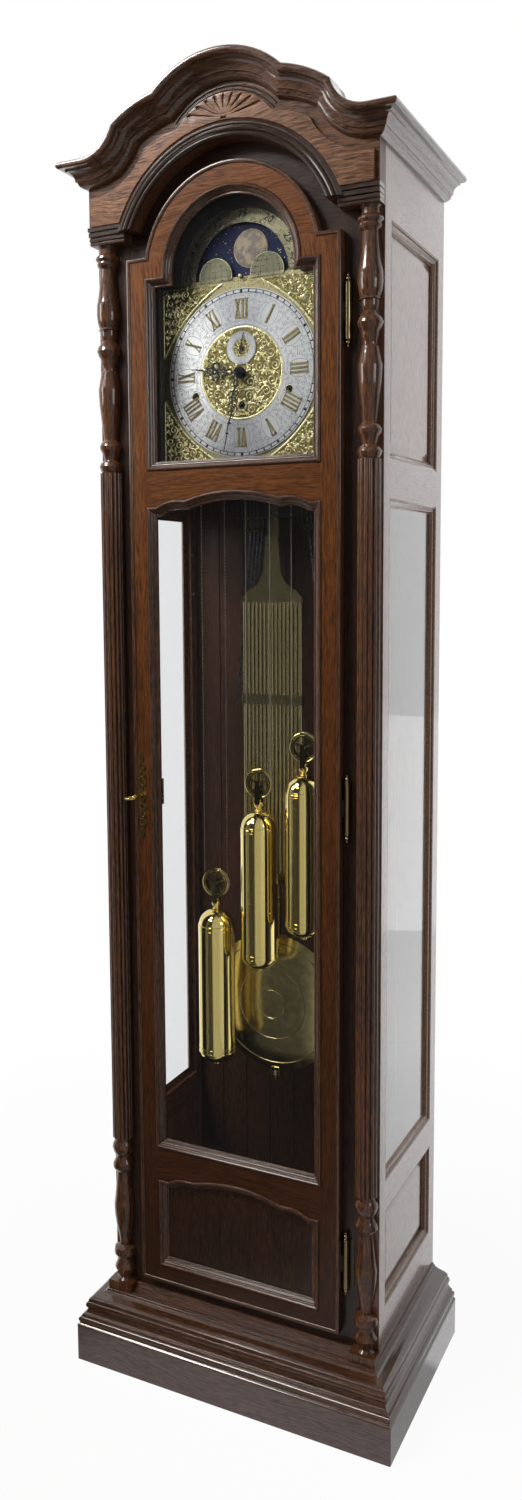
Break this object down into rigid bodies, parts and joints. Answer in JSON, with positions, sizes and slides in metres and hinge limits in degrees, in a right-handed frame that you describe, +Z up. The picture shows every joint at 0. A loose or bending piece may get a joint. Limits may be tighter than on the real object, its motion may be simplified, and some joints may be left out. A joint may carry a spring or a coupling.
{
  "type": "longcase clock",
  "caption": "Tall oak longcase clock with a glazed arched door, arched brass dial with moon disc, swinging pendulum, cable-driven weights and an arched crown.",
  "frame": {"origin": "middle of the footprint, on the floor", "axes": "+Z up, -Y out of the dial towards the viewer, +X to the viewer's right"},
  "size_m": [0.555, 0.3396, 2.051],
  "materials": {
    "oak": "satin",
    "brass": "polished",
    "steel": "satin",
    "cable": "satin",
    "glass": "clear",
    "black_metal": "satin",
    "silvered": "satin",
    "iron": "matte",
    "moon_paint": "satin"
  },
  "bodies": {
    "case": {"plinth": "oak", "case_boards": "oak", "base_board": "oak", "base_moulding": "oak", "side_frame_left": "oak", "side_frame_right": "oak", "side_panels": "oak", "side_glasses": "glass", "back_panel": "oak", "face_frame": "oak", "columns": "oak", "frieze": "oak", "frieze_overlay": "oak", "arch_moulding": "oak", "crown": "oak", "seat_board": "oak", "dial_surround": "oak", "dial_plate": "brass", "chapter_rings": "silvered", "centre_disc": "brass", "spandrels": "brass", "lunar_arch": "brass", "movement_frame": "brass", "chime_block": "iron", "chime_rods": "steel", "hinge_leaves_case": "brass", "hinge_pins": "brass", "cable_left": "cable", "cable_middle": "cable", "cable_right": "cable"},
    "door": {"door_frame": "oak", "door_mouldings": "oak", "dial_glass": "glass", "trunk_glass": "glass", "door_panel": "oak", "hinge_leaves_door": "brass", "escutcheon": "brass", "lock_case": "brass"},
    "bolt": {"lock_bolt": "steel"},
    "key": {"door_key": "brass"},
    "hour": {"hour_hand": "black_metal"},
    "minute": {"minute_hand": "black_metal"},
    "minute_work": {"minute_wheel": "brass"},
    "seconds": {"escape_wheel": "brass", "seconds_hand": "black_metal"},
    "moon": {"moon_disc": "moon_paint"},
    "pendulum": {"anchor": "steel", "pendulum_rod": "brass", "pendulum_grid": "brass", "pendulum_bob": "brass"},
    "hammer_arbor": {"hammers": "brass"},
    "drum_left": {"drum_left": "brass"},
    "weight_left": {"weight_left": "brass"},
    "pulley_left": {"pulley_left": "brass"},
    "drum_middle": {"drum_middle": "brass"},
    "weight_middle": {"weight_middle": "brass"},
    "pulley_middle": {"pulley_middle": "brass"},
    "drum_right": {"drum_right": "brass"},
    "weight_right": {"weight_right": "brass"},
    "pulley_right": {"pulley_right": "brass"}
  },
  "joints": [
    {"name": "door_hinge", "type": "hinge", "parent": "case", "child": "door", "pos_m": [0.1843, -0.11425, 0.97], "axis": [0, 0, 1], "range_deg": [0, 105]},
    {"name": "key_turn", "type": "hinge", "parent": "door", "child": "key", "pos_m": [-0.1625, -0.12025, 0.966], "axis": [0, 1, 0], "range_deg": [0, 90]},
    {"name": "bolt_slide", "type": "slide", "parent": "door", "child": "bolt", "axis": [-1, 0, 0], "range_m": [0, 0.008]},
    {"name": "minute_turn", "type": "hinge", "parent": "case", "child": "minute", "pos_m": [0, -0.08025, 1.6155], "axis": [0, 1, 0], "continuous": true},
    {"name": "hour_turn", "type": "hinge", "parent": "case", "child": "hour", "pos_m": [0, -0.08025, 1.6155], "axis": [0, 1, 0], "continuous": true},
    {"name": "minute_wheel_turn", "type": "hinge", "parent": "case", "child": "minute_work", "pos_m": [0.01559, -0.07025, 1.6065], "axis": [0, 1, 0], "continuous": true},
    {"name": "seconds_turn", "type": "hinge", "parent": "case", "child": "seconds", "pos_m": [0, -0.08025, 1.6525], "axis": [0, 1, 0], "continuous": true},
    {"name": "moon_turn", "type": "hinge", "parent": "case", "child": "moon", "pos_m": [0, -0.07525, 1.757], "axis": [0, 1, 0], "continuous": true},
    {"name": "pendulum_swing", "type": "hinge", "parent": "case", "child": "pendulum", "pos_m": [0, 0.02975, 1.686], "axis": [0, 1, 0], "range_deg": [-2.5, 2.5]},
    {"name": "hammer_swing", "type": "hinge", "parent": "case", "child": "hammer_arbor", "pos_m": [0, 0.09175, 1.4755], "axis": [1, 0, 0], "range_deg": [-14, 4.5]},
    {"name": "weight_left_travel", "type": "slide", "parent": "case", "child": "weight_left", "axis": [0, 0, 1], "range_m": [-0.37, 0.5], "deforming": ["cable_left"]},
    {"name": "weight_middle_travel", "type": "slide", "parent": "case", "child": "weight_middle", "axis": [0, 0, 1], "range_m": [-0.53, 0.33], "deforming": ["cable_middle"]},
    {"name": "weight_right_travel", "type": "slide", "parent": "case", "child": "weight_right", "axis": [0, 0, 1], "range_m": [-0.59, 0.27], "deforming": ["cable_right"]},
    {"name": "drum_left_turn", "type": "hinge", "parent": "case", "child": "drum_left", "pos_m": [-0.079, -0.03025, 1.586], "axis": [0, 1, 0], "continuous": true},
    {"name": "drum_middle_turn", "type": "hinge", "parent": "case", "child": "drum_middle", "pos_m": [0, -0.03025, 1.568], "axis": [0, 1, 0], "continuous": true},
    {"name": "drum_right_turn", "type": "hinge", "parent": "case", "child": "drum_right", "pos_m": [0.079, -0.03025, 1.586], "axis": [0, 1, 0], "continuous": true},
    {"name": "pulley_left_turn", "type": "hinge", "parent": "weight_left", "child": "pulley_left", "pos_m": [-0.079, -0.03025, 0.81], "axis": [0, 1, 0], "continuous": true},
    {"name": "pulley_middle_turn", "type": "hinge", "parent": "weight_middle", "child": "pulley_middle", "pos_m": [0, -0.03025, 0.981], "axis": [0, 1, 0], "continuous": true},
    {"name": "pulley_right_turn", "type": "hinge", "parent": "weight_right", "child": "pulley_right", "pos_m": [0.079, -0.03025, 1.044], "axis": [0, 1, 0], "continuous": true}
  ],
  "couplings": [
    {"joint": "bolt_slide", "follows": "key_turn", "m_per_rad": 0.005093},
    {"joint": "hour_turn", "follows": "minute_turn", "ratio": 0.083333},
    {"joint": "minute_wheel_turn", "follows": "minute_turn", "ratio": -0.33333},
    {"joint": "drum_left_turn", "follows": "weight_left_travel", "rad_per_m": 95.238},
    {"joint": "pulley_left_turn", "follows": "weight_left_travel", "rad_per_m": 47.619},
    {"joint": "drum_middle_turn", "follows": "weight_middle_travel", "rad_per_m": 95.238},
    {"joint": "pulley_middle_turn", "follows": "weight_middle_travel", "rad_per_m": 47.619},
    {"joint": "drum_right_turn", "follows": "weight_right_travel", "rad_per_m": 95.238},
    {"joint": "pulley_right_turn", "follows": "weight_right_travel", "rad_per_m": 47.619}
  ]
}
